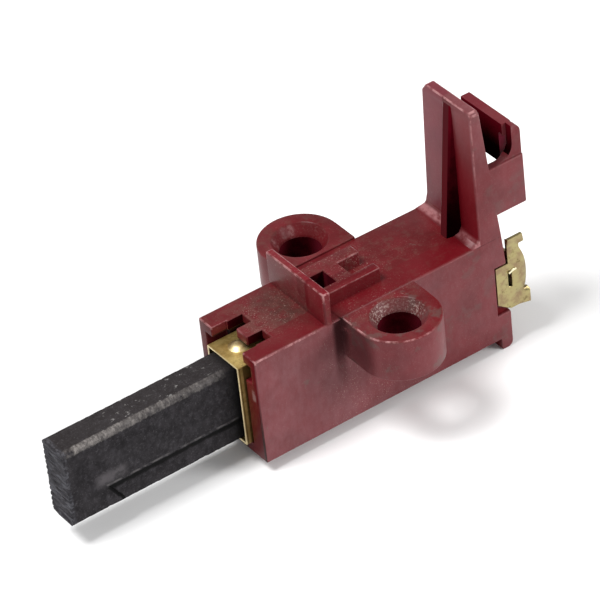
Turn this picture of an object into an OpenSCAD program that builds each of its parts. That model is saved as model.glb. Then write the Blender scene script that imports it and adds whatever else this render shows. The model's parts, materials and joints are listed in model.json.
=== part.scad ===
// Carbon brush in its moulded holder, for a small universal motor.
// Millimetres. +X runs from the carbon's wearing end to the rear terminal,
// -Y is the side that carries the terminal, +Z is up.
// Origin: midway between the two screw holes, level with the ears' undersides.

/* [Carbon block] */
// Thickness across the guide
carbon_w = 5; // [4:0.1:6]
// Height of the section
carbon_h = 12.5; // [10:0.1:14]
// Whole length of the block
carbon_l = 36; // [30:0.5:40]
// Length standing out of the body's front face
carbon_reach = 28.6; // [22:0.1:30]
// Bevel on the long edges
carbon_bevel = 0.4; // [0.1:0.05:0.6]
// Bedding grooves across the wearing face
tip_grooves = 14; // [6:1:18]
// Depth of each bedding groove
tip_groove_depth = 0.22; // [0.1:0.01:0.4]
// Depth of the shallow step low on the near side
side_step_depth = 0.3; // [0.1:0.05:0.5]
// Height of that step above the block's underside
side_step_h = 3.6; // [2:0.1:4.5]
// Plain length between the wearing face and the step
side_step_start = 6.3; // [3:0.1:10]
// Slant of the step's front end, top to bottom
side_step_slant = 2.4; // [0:0.1:4]
// Bore for the lead in the rear face
lead_bore_depth = 4; // [2:0.1:6]

/* [Brass guide] */
// Sheet thickness
sheet_t = 0.4; // [0.3:0.05:0.6]
// Free space above and below the block, each side
guide_play = 0.1; // [0.05:0.01:0.2]
// Outside width of the folded guide
guide_w = 7.4; // [6.8:0.1:8]
// Length standing out of the body's front face
guide_lip = 1; // [0.5:0.1:1.5]
// Running clearance between a guide bead and the block
bead_play = 0.06; // [0.03:0.01:0.1]
// Height of each pressed guide bead
bead_h = 1.6; // [1:0.1:2.4]
// Height between the two beads of a side, centre to centre
bead_gap = 7.4; // [6:0.1:8.5]
// Diameter of the round stiffening dimple
dimple_d = 2.2; // [1.5:0.1:3]
// Width of the retaining tongue
tongue_w = 2; // [1.2:0.1:2.4]
// Height the tongue stands above the guide
tongue_rise = 1.4; // [0.8:0.1:1.8]

/* [Moulded body] */
// Length along the top
body_l = 42.1; // [40:0.1:46]
// Width between the side faces
body_w = 13.4; // [12.6:0.1:16]
// Height
body_h = 17.4; // [16.8:0.1:20]
// Thickness under the guide
floor_t = 1.65; // [1.2:0.05:2]
// Clearance between guide and channel, each side
channel_play = 0.05; // [0.02:0.01:0.1]
// Height of the roof over the front of the channel
front_roof_t = 1.65; // [1.2:0.05:1.8]
// Depth of the open mouth in the roof
mouth_l = 2.45; // [1.5:0.05:3]
// Length of the taller front chamber
chamber_l = 8; // [6:0.1:10]
// Depth of the relief beside the mouth
relief_l = 3; // [2:0.1:4]
// Width of that relief, each side
relief_w = 1.5; // [1:0.1:2]
// Full depth of the two roof slots
slot_l = 5; // [4:0.1:7]
// Width of the tongue left between the slots
nose_w = 2.5; // [1.6:0.1:3]
// Depth of the foot under the rear
foot_h = 1.8; // [1:0.1:2.5]
// Length of that foot
foot_l = 1.7; // [1.2:0.1:3]

/* [Screw ears] */
// Distance between the screw holes
ear_pitch = 23; // [22:0.1:26]
// Holes behind the front face
ear_x = 20.4; // [19:0.1:23]
// Radius of the round end
ear_r = 6.05; // [5.2:0.05:7]
// Underside above the body's underside
ear_z = 11; // [8:0.1:12]
// Rise of the ears above the body's top
ear_rise = 0.3; // [0.1:0.05:0.6]
// Screw hole diameter
screw_d = 6; // [4.2:0.1:6.6]
// Diameter of the seat for the screw head
seat_d = 8.2; // [7:0.1:9.2]
// Depth of that seat
seat_depth = 1.7; // [0.8:0.1:2.2]

/* [Top ribs] */
// Front of the cross rib
rib_x = 11.8; // [10:0.1:13]
// Thickness of the cross rib
rib_t = 1.15; // [0.8:0.05:1.6]
// Height of the cross rib
rib_h = 5.2; // [3:0.1:6.5]
// Height of the H shaped pad
pad_h = 2.2; // [1.2:0.1:3]
// Length of the pad behind the rib
pad_l = 10.5; // [9:0.1:12]
// Width of the pad
pad_w = 6.9; // [6:0.1:8]
// Width of the opening between the pad's rails
pad_gap = 3.3; // [2.4:0.1:3.8]
// Offset of that opening towards the near side
pad_gap_off = 0.25; // [0:0.05:0.5]
// Bar left between the rib and the front opening
pad_front = 0.8; // [0.5:0.1:1.4]
// Thickness of the bar between the rails
pad_bar = 2.45; // [1.6:0.1:3.2]
// Rear of the opening through the roof
pad_bar_x = 17.3; // [16:0.1:18]

/* [Rear tab and hook] */
// Front face of the tab ahead of the body's rear
tab_back = 4.1; // [3.5:0.1:5]
// Top of the tab above the body's underside
tab_top = 39.5; // [34:0.1:44]
// Thickness at the top
tab_t = 1.5; // [1.2:0.1:2.2]
// Far edge of the tab at the top
tab_edge_top = 4.2; // [3:0.1:5]
// Far edge of the tab near the foot
tab_edge_low = 5.3; // [4.4:0.1:6]
// Thickness of the stiffening web along its crest
web_t = 1.5; // [1:0.1:2]
// Set-off of the web's far side from the middle
web_off = 0.5; // [0:0.1:1]
// Spread of the web's near flank at the tab
web_flare = 0.5; // [0:0.1:1]
// Reach of the web at the body's top
web_reach = 2.3; // [1:0.05:3]
// Thickness of the side cheek
cheek_t = 1.5; // [1:0.1:2]
// Underside of the cheek
cheek_z = 21.1; // [19.5:0.1:24]
// Height of the cheek's plain part
cheek_h = 8; // [6.5:0.1:9]
// Step back of the hook above the cheek
hook_step = 0.45; // [0.2:0.05:0.8]
// Top of the hook
hook_top = 34.3; // [32:0.1:36]
// Rear of the hook behind the body's rear
hook_reach = 3.5; // [2.6:0.1:4.8]
// Radius of the hollow curve under the hook's post
hook_curve = 2.4; // [1.5:0.1:3]
// Thickness of the hook's finger
finger_t = 1.5; // [1:0.1:2]
// Width of the hook's post
post_w = 1.5; // [1:0.05:2]
// Set-back of the post from the cheek's face
post_in = 0.3; // [0.1:0.05:0.5]
// Radius of the post's top corner
post_round = 1.4; // [0.8:0.1:1.8]
// Lower end of the finger
finger_z = 27.3; // [25.5:0.1:29]
// Slot between finger and cheek
hook_slot = 0.8; // [0.5:0.1:1.2]

/* [Terminal] */
// Sheet thickness
term_t = 0.5; // [0.4:0.05:0.8]
// Reach behind the body
term_reach = 3.4; // [2.4:0.1:4.5]
// Front edge of the side flange, from the body's rear
flange_l = 1.9; // [1.2:0.1:2.6]
// Gap left between flange and notch
notch_play = 0.1; // [0.05:0.01:0.2]
// Upper edge of the terminal
term_top = 16.4; // [15.5:0.05:17.2]
// Height of the lug at the top
lug_h = 1.5; // [1:0.05:2]
// Depth of the neck below the lug
neck_in = 1.1; // [0.6:0.05:1.4]
// Top of the bulged edge
barrel_top = 14.3; // [13.4:0.1:14.7]
// Height of the bulged edge
barrel_h = 7.4; // [6.4:0.1:8]
// Swell of the bulged edge
barrel_swell = 0.8; // [0.3:0.05:1]
// Lower edge of the terminal
term_low = 4.5; // [4.3:0.05:5.5]
// Height of the lower tab
low_tab_h = 2.4; // [1.6:0.1:3]
// Lower end of the pierced slot
pierce_z = 8.3; // [7.6:0.1:9]
// Height of the pierced slot
pierce_h = 2.7; // [1.6:0.1:3.4]
// Width of the pierced slot
pierce_w = 0.5; // [0.4:0.05:0.7]

/* [Spring and lead] */
// Outside diameter of the spring
spring_d = 4.6; // [4:0.1:4.8]
// Wire thickness
spring_wire = 0.5; // [0.35:0.05:0.6]
// Working turns
spring_turns = 13; // [8:1:18]
// Diameter of the braided lead
lead_d = 1.3; // [0.8:0.1:1.6]

/* [Hidden] */
$fn = 48;
e = 0.02;
guide_h = carbon_h + 2 * guide_play + 2 * sheet_t;
guide_z = floor_t + channel_play;
axis_z = guide_z + guide_h / 2;
channel_w = guide_w + 2 * channel_play;
channel_top = guide_z + guide_h + channel_play;
ear_top = body_h + ear_rise;
ear_y = ear_pitch / 2;
pad_x = rib_x + rib_t;
rear_x = body_l + 0.2;
carbon_rear = carbon_l - carbon_reach;
plate_x = rear_x + 0.05;
side_y = -body_w / 2;
bead_rise = (guide_w - 2 * sheet_t - carbon_w) / 2 - bead_play;
tab_x = body_l - tab_back;
hook_x = body_l + hook_reach;
cheek_top = cheek_z + cheek_h;
gap_y = [-pad_gap / 2 - pad_gap_off, pad_gap / 2 - pad_gap_off];
notch_top = barrel_top - 1.85;
notch_low = term_low - 0.3;

// sizes are taken from the body's lower front edge, then moved to the origin
module on_screws() {
    translate([-ear_x, 0, -ear_z]) children();
}

// extrude an X-Z outline from y0 to y1
module side_cut(y0, y1) {
    translate([0, y1, 0]) rotate([90, 0, 0]) linear_extrude(y1 - y0) children();
}

module box(x, y, z) {
    translate([x[0], y[0], z[0]]) cube([x[1] - x[0], y[1] - y[0], z[1] - z[0]]);
}

module body_block() {
    side_cut(side_y, -side_y) polygon([
        [0, 0], [body_l - foot_l, 0], [body_l - foot_l, -foot_h],
        [body_l - 0.4, -foot_h], [body_l, -foot_h + 0.25], [rear_x, -foot_h + 1],
        [rear_x, notch_low], [body_l, notch_top], [body_l - 0.4, body_h], [0, body_h]]);
}

module ear(s) {
    intersection() {
        translate([ear_x, s * ear_y, ear_z]) cylinder(r = ear_r, h = ear_top - ear_z);
        box([ear_x - ear_r, ear_x + ear_r], s > 0 ? [-side_y, ear_y + ear_r] : [-ear_y - ear_r, side_y],
            [ear_z, ear_top]);
    }
    box([ear_x - ear_r, ear_x + ear_r],
        s > 0 ? [-side_y, ear_y] : [-ear_y, side_y], [ear_z, ear_top]);
    box([ear_x - ear_r, ear_x + ear_r],
        s > 0 ? [-side_y - 1, ear_y] : [-ear_y, side_y + 1], [ear_z, body_h - 1]);
}

module ear_hole(s) {
    translate([ear_x, s * ear_y, ear_z - 1]) cylinder(d = screw_d, h = ear_top - ear_z + 2);
    translate([ear_x, s * ear_y, ear_top - seat_depth])
        cylinder(d1 = screw_d, d2 = seat_d, h = seat_depth + e);
}

module top_ribs() {
    box([rib_x, pad_x], [side_y, -side_y], [body_h - 1, body_h + rib_h]);
    difference() {
        box([pad_x - e, pad_x + pad_l], [-pad_w / 2, pad_w / 2], [body_h - 1, body_h + pad_h]);
        box([pad_x + pad_front, pad_bar_x], gap_y, [body_h - 2, body_h + pad_h + 1]);
        box([pad_bar_x + pad_bar, pad_x + pad_l + 1], gap_y, [body_h, body_h + pad_h + 1]);
    }
}

module tab() {
    low = body_h - 1;
    intersection() {
        side_cut(side_y, -side_y) polygon([
            [tab_x - 2, low], [body_l - 0.4, low], [body_l - 0.4, body_h],
            [tab_x + tab_t, tab_top], [tab_x, tab_top],
            [tab_x, body_h + 1.3], [tab_x - 0.4, body_h + 0.4], [tab_x - 1.3, body_h],
            [tab_x - 2, body_h]]);
        rotate([90, 0, 90]) linear_extrude(60) polygon([
            [side_y, low], [-side_y, low], [-side_y, body_h],
            [tab_edge_low + 0.6, body_h + 0.9], [tab_edge_low, body_h + 3],
            [tab_edge_top, tab_top - 1.2], [tab_edge_top - 0.9, tab_top],
            [side_y + 0.4, tab_top], [side_y, tab_top - 0.5]]);
    }
    intersection() {
        side_cut(side_y, 0) polygon([
            [tab_x + e, low], [tab_x + e, tab_top - 0.6],
            [tab_x - web_reach, body_h], [tab_x - web_reach, low]]);
        translate([0, 0, low]) linear_extrude(tab_top - low) polygon([
            [tab_x + e, -web_off], [tab_x - web_reach, -web_off],
            [tab_x - web_reach, -web_off - web_t], [tab_x + e, -web_off - web_t - web_flare]]);
    }
}

module hook() {
    post_back = hook_x + hook_step * 1.5;
    post_front = post_back - post_w;
    corner = min(post_round, post_w - 0.1);
    // cheek
    side_cut(side_y, side_y + cheek_t) polygon([
        [tab_x + tab_t, cheek_z], [hook_x + hook_step * 1.7, cheek_z],
        [hook_x + hook_step * 1.6, cheek_top], [tab_x + 1, cheek_top]]);
    // post, set back on the cheek, with a hollow curve at its foot
    side_cut(side_y + post_in, side_y + cheek_t) polygon(concat(
        [[post_back, cheek_top - e]],
        [for (a = [0:15:90])
            [post_back - corner * (1 - cos(a)), hook_top - corner * (1 - sin(a))]],
        [[post_front, hook_top]],
        [for (a = [0:15:90])
            [post_front - hook_curve * (1 - cos(a)), cheek_top + hook_curve * (1 - sin(a))]],
        [[post_front - hook_curve, cheek_top - e]]));
    // finger across the back, parted from the post by a slot open below
    difference() {
        box([hook_x - finger_t, hook_x], [side_y + cheek_t - e, 3.9], [finger_z, hook_top]);
        box([hook_x - finger_t - 1, hook_x + 1],
            [side_y + cheek_t - 1, side_y + cheek_t + hook_slot], [finger_z - 1, hook_top - 2]);
        translate([hook_x - finger_t - 1, side_y + cheek_t + hook_slot / 2, hook_top - 2])
            rotate([0, 90, 0]) cylinder(d = hook_slot, h = finger_t + 2);
    }
}

module holder_body() color([0.42, 0.1, 0.12]) on_screws() difference() {
    union() {
        body_block();
        ear(1);
        ear(-1);
        top_ribs();
        tab();
        hook();
    }
    // channel for the guide, a little higher at the front
    box([-1, rear_x + 1], [-channel_w / 2, channel_w / 2], [floor_t, channel_top]);
    box([-1, chamber_l], [-channel_w / 2, channel_w / 2], [floor_t, body_h - front_roof_t]);
    box([-1, relief_l], [-channel_w / 2 - relief_w, channel_w / 2 + relief_w],
        [channel_top - 2.3, body_h - front_roof_t]);
    // mouth and slots in the roof
    box([-1, mouth_l], [-channel_w / 2 + 0.1, channel_w / 2 - 0.1], [axis_z, body_h + 1]);
    for (s = [-1, 1]) box([-1, slot_l],
        s > 0 ? [nose_w / 2, pad_w / 2] : [-pad_w / 2, -nose_w / 2], [axis_z, body_h + 1]);
    // window for the guide's retaining tongue
    box([pad_x + pad_front, pad_bar_x], gap_y, [axis_z, body_h + 1]);
    // notch for the terminal's side flange
    box([body_l - flange_l - notch_play, rear_x + 1],
        [side_y - 1, side_y + term_t + notch_play], [notch_low, notch_top]);
    ear_hole(1);
    ear_hole(-1);
}

module guide_bead(s, k) {
    y0 = guide_w / 2 - sheet_t - bead_rise;
    z0 = axis_z + k * bead_gap / 2 - bead_h / 2;
    box([1.5, plate_x - 2], s > 0 ? [y0, guide_w / 2 - sheet_t + e]
        : [-guide_w / 2 + sheet_t - e, -y0], [z0, z0 + bead_h]);
}

module brush_guide() color([0.62, 0.5, 0.25]) on_screws() {
    difference() {
        union() {
            box([-guide_lip, plate_x], [-guide_w / 2, guide_w / 2], [guide_z, guide_z + guide_h]);
            translate([2, 0.4, guide_z + guide_h - e]) cylinder(d1 = dimple_d, d2 = dimple_d - 0.8, h = 0.35);
            // retaining tongue, bent up into the roof window
            side_cut(-tongue_w / 2, tongue_w / 2) polygon([
                [pad_bar_x - 0.3, guide_z + guide_h - 0.1], [pad_x + 1.5, guide_z + guide_h + tongue_rise],
                [pad_x + 1.5, guide_z + guide_h + tongue_rise - 0.45],
                [pad_bar_x - 1.4, guide_z + guide_h - 0.1]]);
        }
        difference() {
            box([-guide_lip - 1, plate_x + 1], [-guide_w / 2 + sheet_t, guide_w / 2 - sheet_t],
                [guide_z + sheet_t, guide_z + guide_h - sheet_t]);
            for (s = [-1, 1], k = [-1, 1]) guide_bead(s, k);
        }
    }
}

module rear_terminal() color([0.75, 0.68, 0.45]) on_screws() {
    // side plate with flange, neck, barrel edge and lower tab
    x0 = body_l - flange_l;
    x1 = rear_x + 0.05;
    xr = body_l + term_reach;
    side_cut(side_y, side_y + term_t) difference() {
        polygon(concat(
            [[x0, notch_top - 0.15], [x1, notch_top - 0.15], [x1, term_top],
             [xr - lug_h / 3, term_top], [xr - 0.2, term_top - lug_h],
             [xr - neck_in, term_top - lug_h - 0.05]],
            [for (i = [0:8]) let (t = i / 8)
                [xr - neck_in + 0.3 * t + barrel_swell * sin(180 * t), barrel_top - barrel_h * t]],
            [[xr, term_low + low_tab_h], [xr, term_low], [x1, term_low],
             [x0, term_low + 1.5]]));
        translate([x1 - 0.1, pierce_z]) square([pierce_w, pierce_h]);
    }
    // plate folded across the rear, closing the guide behind the spring
    box([plate_x, plate_x + term_t], [-guide_w / 2, guide_w / 2], [guide_z, guide_z + guide_h]);
    for (z = [[term_low + 0.4, pierce_z - 0.2], [pierce_z + pierce_h + 0.2, barrel_top - 0.2]])
        box([plate_x, plate_x + term_t], [side_y + term_t - e, -guide_w / 2 + e], z);
}

module carbon_block() color([0.2, 0.2, 0.2]) on_screws() {
    x0 = -carbon_reach;
    z0 = axis_z - carbon_h / 2;
    p = carbon_h / tip_grooves;
    tip = [for (i = [0:tip_grooves - 1]) each [
        [x0, z0 + (i + 0.08) * p], [x0, z0 + (i + 0.5) * p],
        [x0 + tip_groove_depth, z0 + (i + 0.79) * p]]];
    difference() {
        intersection() {
            side_cut(-carbon_w / 2, carbon_w / 2)
                polygon(concat(tip, [[x0, z0 + carbon_h], [carbon_rear, z0 + carbon_h], [carbon_rear, z0], [x0, z0]]));
            rotate([90, 0, 90]) translate([0, 0, x0 - 1]) linear_extrude(carbon_l + 2)
                translate([-carbon_w / 2, z0]) polygon([
                    [carbon_bevel, 0], [carbon_w - carbon_bevel, 0], [carbon_w, carbon_bevel],
                    [carbon_w, carbon_h - carbon_bevel], [carbon_w - carbon_bevel, carbon_h],
                    [carbon_bevel, carbon_h], [0, carbon_h - carbon_bevel], [0, carbon_bevel]]);
        }
        side_cut(-carbon_w, -carbon_w / 2 + side_step_depth) polygon([
            [x0 + side_step_start, z0 + side_step_h], [carbon_rear + 1, z0 + side_step_h],
            [carbon_rear + 1, z0 - 1], [x0 + side_step_start + side_step_slant, z0 - 1],
            [x0 + side_step_start + side_step_slant, z0]]);
        translate([carbon_rear - lead_bore_depth, 0, axis_z]) rotate([0, 90, 0])
            cylinder(d = lead_d + 0.06, h = lead_bore_depth + 1);
    }
}

// closed tube swept along a list of points, each ring given by its two cross axes
module tube(rings, n) {
    m = len(rings);
    polyhedron([for (r = rings) each r],
        concat([[for (j = [0:n - 1]) j]],
            [for (i = [0:m - 2], j = [0:n - 1])
                [i * n + j, (i + 1) * n + j, (i + 1) * n + (j + 1) % n, i * n + (j + 1) % n]],
            [[for (j = [n - 1:-1:0]) (m - 1) * n + j]]));
}

// 1.5 close turns at each end of the spring, working turns between
coil_n = spring_turns + 3;
coil_x0 = carbon_rear + spring_wire / 2 + 0.05;
coil_x1 = plate_x - spring_wire / 2 - 0.05;
coil_end = 1.5 * (spring_wire + 0.03);
function coil_x(u) = u < 1.5 ? coil_x0 + u * coil_end / 1.5
    : u > coil_n - 1.5 ? coil_x1 - (coil_n - u) * coil_end / 1.5
    : coil_x0 + coil_end + (coil_x1 - coil_x0 - 2 * coil_end) * (u - 1.5) / (coil_n - 3);

module pressure_spring() color([0.6, 0.6, 0.6]) on_screws() {
    n = 6;
    per = 18;
    r = (spring_d - spring_wire) / 2;
    tube([for (i = [0:coil_n * per]) let (u = i / per, a = 360 * u) [
        for (j = [0:n - 1]) let (b = 360 * j / n, q = r + spring_wire / 2 * cos(b))
            [coil_x(u) + spring_wire / 2 * sin(b), q * cos(a), axis_z + q * sin(a)]]], n);
}

module shunt_lead() color([0.72, 0.42, 0.25]) on_screws() {
    n = 10;
    x0 = carbon_rear - lead_bore_depth + 0.3;
    x1 = plate_x;
    steps = 28;
    // a shallow wave keeps a little slack in the braid
    tube([for (i = [0:steps]) let (u = i / steps, x = x0 + (x1 - x0) * u,
            s = u < 0.16 || u > 0.92 ? 0 : 0.35 * sin(360 * 2 * (u - 0.16) / 0.76)) [
        for (j = [0:n - 1]) let (b = -360 * j / n)
            [x, lead_d / 2 * cos(b), axis_z + s + lead_d / 2 * sin(b)]]], n);
}

holder_body();
brush_guide();
rear_terminal();
carbon_block();
pressure_spring();
shunt_lead();
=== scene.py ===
"""Carbon brush in its moulded holder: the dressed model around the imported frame.

Metres throughout, in the frame's own axes: +X runs to the rear terminal, -Y is the
side that carries the terminal, +Z is up out of the screw seats.
"""

import json
import math
from types import SimpleNamespace

import bpy
from mathutils import Matrix, Vector, noise


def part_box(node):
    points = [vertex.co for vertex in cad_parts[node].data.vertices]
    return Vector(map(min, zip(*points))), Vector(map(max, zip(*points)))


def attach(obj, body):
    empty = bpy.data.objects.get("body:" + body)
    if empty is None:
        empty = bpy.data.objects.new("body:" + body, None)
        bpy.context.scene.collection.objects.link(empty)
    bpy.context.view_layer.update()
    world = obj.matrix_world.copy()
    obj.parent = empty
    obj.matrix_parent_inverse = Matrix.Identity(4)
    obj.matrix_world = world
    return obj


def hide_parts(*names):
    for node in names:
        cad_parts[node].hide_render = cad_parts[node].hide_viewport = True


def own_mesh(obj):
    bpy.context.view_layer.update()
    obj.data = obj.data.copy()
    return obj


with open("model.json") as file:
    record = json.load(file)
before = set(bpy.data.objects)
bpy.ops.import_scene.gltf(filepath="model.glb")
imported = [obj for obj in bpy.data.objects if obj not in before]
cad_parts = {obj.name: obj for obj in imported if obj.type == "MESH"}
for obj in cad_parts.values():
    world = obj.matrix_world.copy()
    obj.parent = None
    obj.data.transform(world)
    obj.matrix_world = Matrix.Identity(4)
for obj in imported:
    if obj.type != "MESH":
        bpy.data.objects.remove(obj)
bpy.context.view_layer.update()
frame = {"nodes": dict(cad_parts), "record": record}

MM = 0.001
HOLDER, CARBON = "holder", "carbon"


# ---------------------------------------------------------------- places on the solids

def mount_sizes(name):
    """The sizes that the record gives for one of the mounts, in millimetres."""
    return next(mount["dims"] for mount in frame["record"]["mounts"] if mount["name"] == name)


SCREW_SPACING = mount_sizes("screw_ears")["spacing_y_mm"] * MM
SCREW_RADIUS = mount_sizes("screw_ears")["hole_r_mm"] * MM
HOLDER_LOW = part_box("holder_body")[0]
CARBON_LOW, CARBON_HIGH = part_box("carbon_block")
GUIDE_LOW, GUIDE_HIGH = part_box("brush_guide")
GUIDE_FRONT = GUIDE_LOW.x
BODY_FRONT = HOLDER_LOW.x
BODY_TOP = 6.4 * MM
SIDE_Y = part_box("rear_terminal")[0].y
EAR_START = -6.05 * MM
EAR_TOP = 6.7 * MM
SEAT_RADIUS = 4.1 * MM
RIB_FRONT = -8.6 * MM
RIB_TOP = 11.6 * MM
WINDOW_X = (-6.9 * MM, -3.0 * MM)
WINDOW_Y = (-2.0 * MM, 1.5 * MM)
SLOT_END = -15.4 * MM
SLOT_EDGE_Y = (1.2 * MM, 3.5 * MM)
TAB_FRONT = 17.6 * MM
WEB_FAR_Y = -0.5 * MM
WEB_NEAR_Y = -2.5 * MM
WEB_MIDDLE = (WEB_FAR_Y + WEB_NEAR_Y) / 2
CHEEK_TOP = 18.1 * MM
FINGER_X = 23.7 * MM
GUIDE_TOP = 4.2 * MM
STEP_TOP = 3.6 * MM
STEP_START = 6.3 * MM
STEP_SLANT = 2.4 * MM


# ---------------------------------------------------------------- camera

CAMERA_AT = Vector((-249.3, -393.22, 357.36)) * MM
CAMERA_RIGHT = Vector((0.8100, -0.5792, -0.0924))
CAMERA_BACK = Vector((-0.4163, -0.6787, 0.6050))
LENS_MM = 256.4


def add_camera():
    back = CAMERA_BACK.normalized()
    right = (CAMERA_RIGHT - back * CAMERA_RIGHT.dot(back)).normalized()
    up = back.cross(right)
    data = bpy.data.cameras.new("camera")
    data.sensor_width = 36
    data.lens = LENS_MM
    data.clip_start = 0.01
    data.clip_end = 10
    camera = bpy.data.objects.new("camera", data)
    bpy.context.scene.collection.objects.link(camera)
    turn = Matrix((right, up, back)).transposed()
    camera.matrix_world = Matrix.Translation(CAMERA_AT) @ turn.to_4x4()
    bpy.context.scene.camera = camera


add_camera()


# ---------------------------------------------------------------- material helpers

class Finish:
    """One material, built up coat by coat on Object coordinates.

    A mask is a socket that runs from 0 to 1. Places along an axis are metres, and the
    distances from a place are millimetres.
    """

    def __init__(self, name):
        self.material = bpy.data.materials.new(name)
        self.material.use_nodes = True
        self.tree = self.material.node_tree
        self.shader = self.tree.nodes["Principled BSDF"]
        self.where = self.node("ShaderNodeTexCoord").outputs["Object"]
        parted = self.node("ShaderNodeSeparateXYZ")
        self.join(self.where, parted.inputs[0])
        self.x, self.y, self.z = (parted.outputs[name] for name in "XYZ")
        self.colour = None

    def node(self, kind, **values):
        made = self.tree.nodes.new(kind)
        for key, value in values.items():
            setattr(made, key, value)
        return made

    def join(self, source, target):
        self.tree.links.new(source, target)

    def stretched(self, scale, offset=(0, 0, 0)):
        """Object coordinates with each axis scaled, for grain and drag marks."""
        mapping = self.node("ShaderNodeMapping")
        mapping.inputs["Scale"].default_value = scale
        mapping.inputs["Location"].default_value = offset
        self.join(self.where, mapping.inputs["Vector"])
        return mapping.outputs["Vector"]

    def noise(self, scale, detail=4, rough=0.55, at=None):
        made = self.node("ShaderNodeTexNoise")
        made.inputs["Scale"].default_value = scale
        made.inputs["Detail"].default_value = detail
        made.inputs["Roughness"].default_value = rough
        self.join(at or self.where, made.inputs["Vector"])
        return made.outputs["Fac"]

    def ramp(self, fac, low, high):
        """0 up to low, 1 from high on, and the other way round where low is the greater."""
        made = self.node("ShaderNodeMapRange")
        made.interpolation_type = "SMOOTHSTEP"
        made.inputs["From Min"].default_value = low
        made.inputs["From Max"].default_value = high
        self.join(fac, made.inputs["Value"])
        return made.outputs["Result"]

    def moved(self, *offset):
        """Object coordinates set off by metres, for another stretch of a pattern."""
        return self.stretched((1, 1, 1), offset)

    def cloud(self, low, high, *pattern):
        """Soft blotches: a noise cut off between two levels; its pattern is as for noise."""
        return self.ramp(self.noise(*pattern), low, high)

    def fade(self, along, place, start, end):
        """0 at start and 1 at end, in millimetres from a place along one axis."""
        return self.ramp(along, place + start * MM, place + end * MM)

    def band(self, along, place, low, high, soft):
        """1 between low and high, in millimetres from a place, softened at both ends."""
        rise = self.fade(along, place, low - soft, low + soft)
        fall = self.fade(along, place, high - soft, high + soft)
        return self.math("SUBTRACT", rise, fall)

    def math(self, operation, a, b=0.0):
        made = self.node("ShaderNodeMath", operation=operation)
        for socket, value in zip(made.inputs, (a, b)):
            if isinstance(value, (int, float)):
                socket.default_value = value
            else:
                self.join(value, socket)
        return made.outputs[0]

    def times(self, *masks):
        """Where all the masks meet."""
        total = masks[0]
        for mask in masks[1:]:
            total = self.math("MULTIPLY", total, mask)
        return total

    def most(self, *masks):
        """Where any of the masks is."""
        total = masks[0]
        for mask in masks[1:]:
            total = self.math("MAXIMUM", total, mask)
        return total

    def but(self, mask, share):
        """1, lowered by a share where the mask is."""
        return self.math("SUBTRACT", 1.0, self.times(mask, share))

    def over(self, floor, mask, share):
        """A floor, raised by a share where the mask is."""
        return self.math("ADD", self.times(mask, share), floor)

    def mix(self, fac, a, b):
        made = self.node("ShaderNodeMix", data_type="RGBA")
        for socket, value in zip((made.inputs[0], made.inputs[6], made.inputs[7]), (fac, a, b)):
            if isinstance(value, tuple):
                socket.default_value = (*value, 1)
            else:
                self.join(value, socket)
        return made.outputs[2]

    def coat(self, tone, *masks):
        """Lays a tone over the colour so far, where all the masks meet."""
        self.colour = self.mix(self.times(*masks), self.colour, tone)

    def bump(self, height, strength, distance, below=None):
        made = self.node("ShaderNodeBump")
        made.inputs["Strength"].default_value = strength
        made.inputs["Distance"].default_value = distance
        self.join(height, made.inputs["Height"])
        if below is not None:
            self.join(below, made.inputs["Normal"])
        return made.outputs["Normal"]

    def finish(self, rough, normal=None, metallic=0.0, specular=0.5):
        self.join(self.colour, self.shader.inputs["Base Color"])
        if isinstance(rough, (int, float)):
            self.shader.inputs["Roughness"].default_value = rough
        else:
            self.join(rough, self.shader.inputs["Roughness"])
        self.shader.inputs["Metallic"].default_value = metallic
        self.shader.inputs["Specular IOR Level"].default_value = specular
        if normal is not None:
            self.join(normal, self.shader.inputs["Normal"])
        return self.material


def from_screw(f):
    """Distances in x and y from the axis of the screw hole on the same side."""
    beyond = f.math("SUBTRACT", f.math("ABSOLUTE", f.y), SCREW_SPACING / 2)
    return f.x, f.math("MULTIPLY", beyond, f.math("SIGN", f.y))


# ---------------------------------------------------------------- finish of the moulding

SMOOTH_DARK = (0.094, 0.0046, 0.0066)
SMOOTH_RED = (0.138, 0.0100, 0.0140)
SMOOTH_BLOOM = (0.250, 0.120, 0.130)
EDGE_DARK = (0.108, 0.0080, 0.0105)
EDGE_RED = (0.155, 0.0170, 0.0210)
EDGE_BLOOM = (0.270, 0.130, 0.140)
PINKER = (0.90, 0.57, 0.71)

WEB_SHADE = (0.070, 0.0015, 0.0040)
# painted shade: the web's shadow in the corner beside it
WEB_CORNER_SHADE = (0.060, 0.0006, 0.0025)
BESIDE_WEB = (0.110, 0.0020, 0.0060)
RIB_RED = (0.170, 0.0060, 0.0140)
HOOK_RED = (0.115, 0.0060, 0.0110)
# painted highlight: the lit crescent inside the hook
HOOK_CRESCENT_LIGHT = (0.230, 0.0160, 0.0420)
GREY_GREEN = (0.110, 0.085, 0.070)
EAR_SMUDGE = (0.095, 0.070, 0.062)
WORN_NOSE = (0.120, 0.070, 0.055)
RIB_FOOT_DIRT = (0.050, 0.026, 0.020)
PALE_GRIT = (0.46, 0.32, 0.27)
SEAT_BROWN = (0.070, 0.026, 0.022)
# painted highlight speckle and painted sheen on the screw seats
SEAT_HIGHLIGHT_SPECKLE = (0.46, 0.34, 0.31)
SEAT_SHEEN = (0.40, 0.22, 0.22)
# painted highlight on the tab's foot, and painted shade on the front face
FOOT_HIGHLIGHT = (0.52, 0.24, 0.25)
FRONT_SHADE = (0.017, 0.0035, 0.0025)
PALE_SCAR = (0.40, 0.29, 0.27)
NOSE_SHADE = (0.010, 0.0008, 0.0010)
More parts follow.
